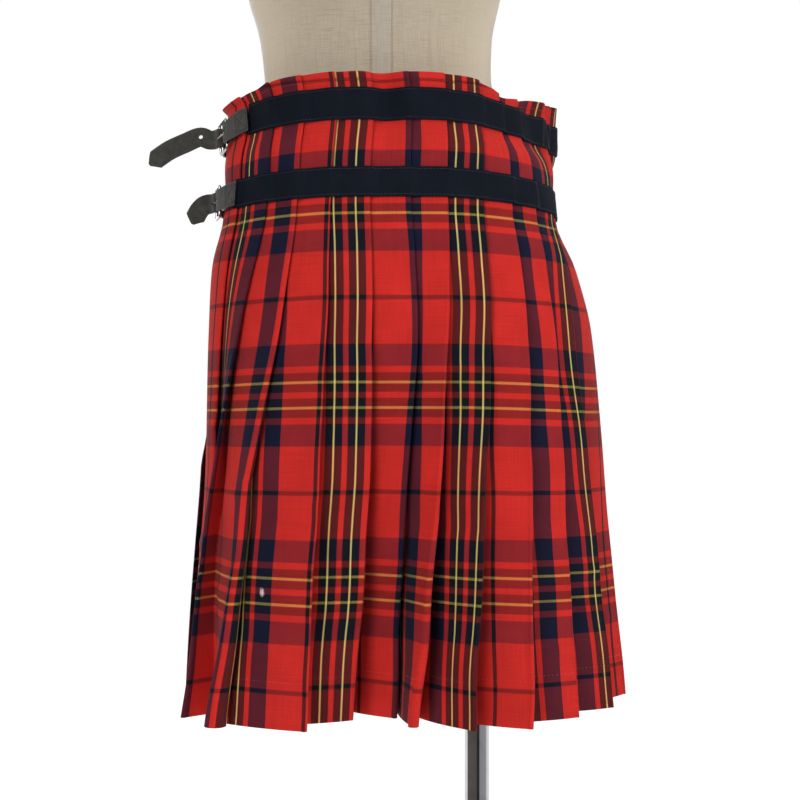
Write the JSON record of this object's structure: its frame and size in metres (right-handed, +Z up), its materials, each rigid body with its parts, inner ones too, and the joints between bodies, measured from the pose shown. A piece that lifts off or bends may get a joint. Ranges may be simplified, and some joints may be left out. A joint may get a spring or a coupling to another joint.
{
  "type": "wrap skirt on dress form",
  "caption": "Knife pleated tartan wrap skirt with two buckled waist straps, resting on a limbless dress form that stands on a pole and a round base.",
  "frame": {"origin": "on the floor, at the centre of the base plate's underside, below the form's middle", "axes": "+Z up along the pole, -Y towards someone who looks at the pleated back, +X to that person's right"},
  "size_m": [0.4931, 0.3402, 1.515],
  "materials": {
    "tartan cloth": "twill woven wool in a red, navy, black and yellow check",
    "black webbing": "plain woven, dull",
    "black leather": "smooth on one side, grey suede on the other",
    "plated wire": "bright plated steel wire",
    "linen cover": "coarse natural linen over a firm form",
    "chromed steel": "polished",
    "painted steel": "grey paint, satin"
  },
  "bodies": {
    "root": {"pleated_back": "tartan cloth", "over_apron": "tartan cloth", "under_apron": "tartan cloth", "upper_band": "black webbing", "lower_band": "black webbing", "upper_tab": "black leather", "lower_tab": "black leather", "upper_strap": "black leather", "lower_strap": "black leather", "upper_buckle": "plated wire", "lower_buckle": "plated wire", "upper_prong": "plated wire", "lower_prong": "plated wire", "dress_form": "linen cover", "pole": "chromed steel", "pole_socket": "chromed steel", "base_hub": "chromed steel", "base_plate": "painted steel"}
  },
  "joints": []
}
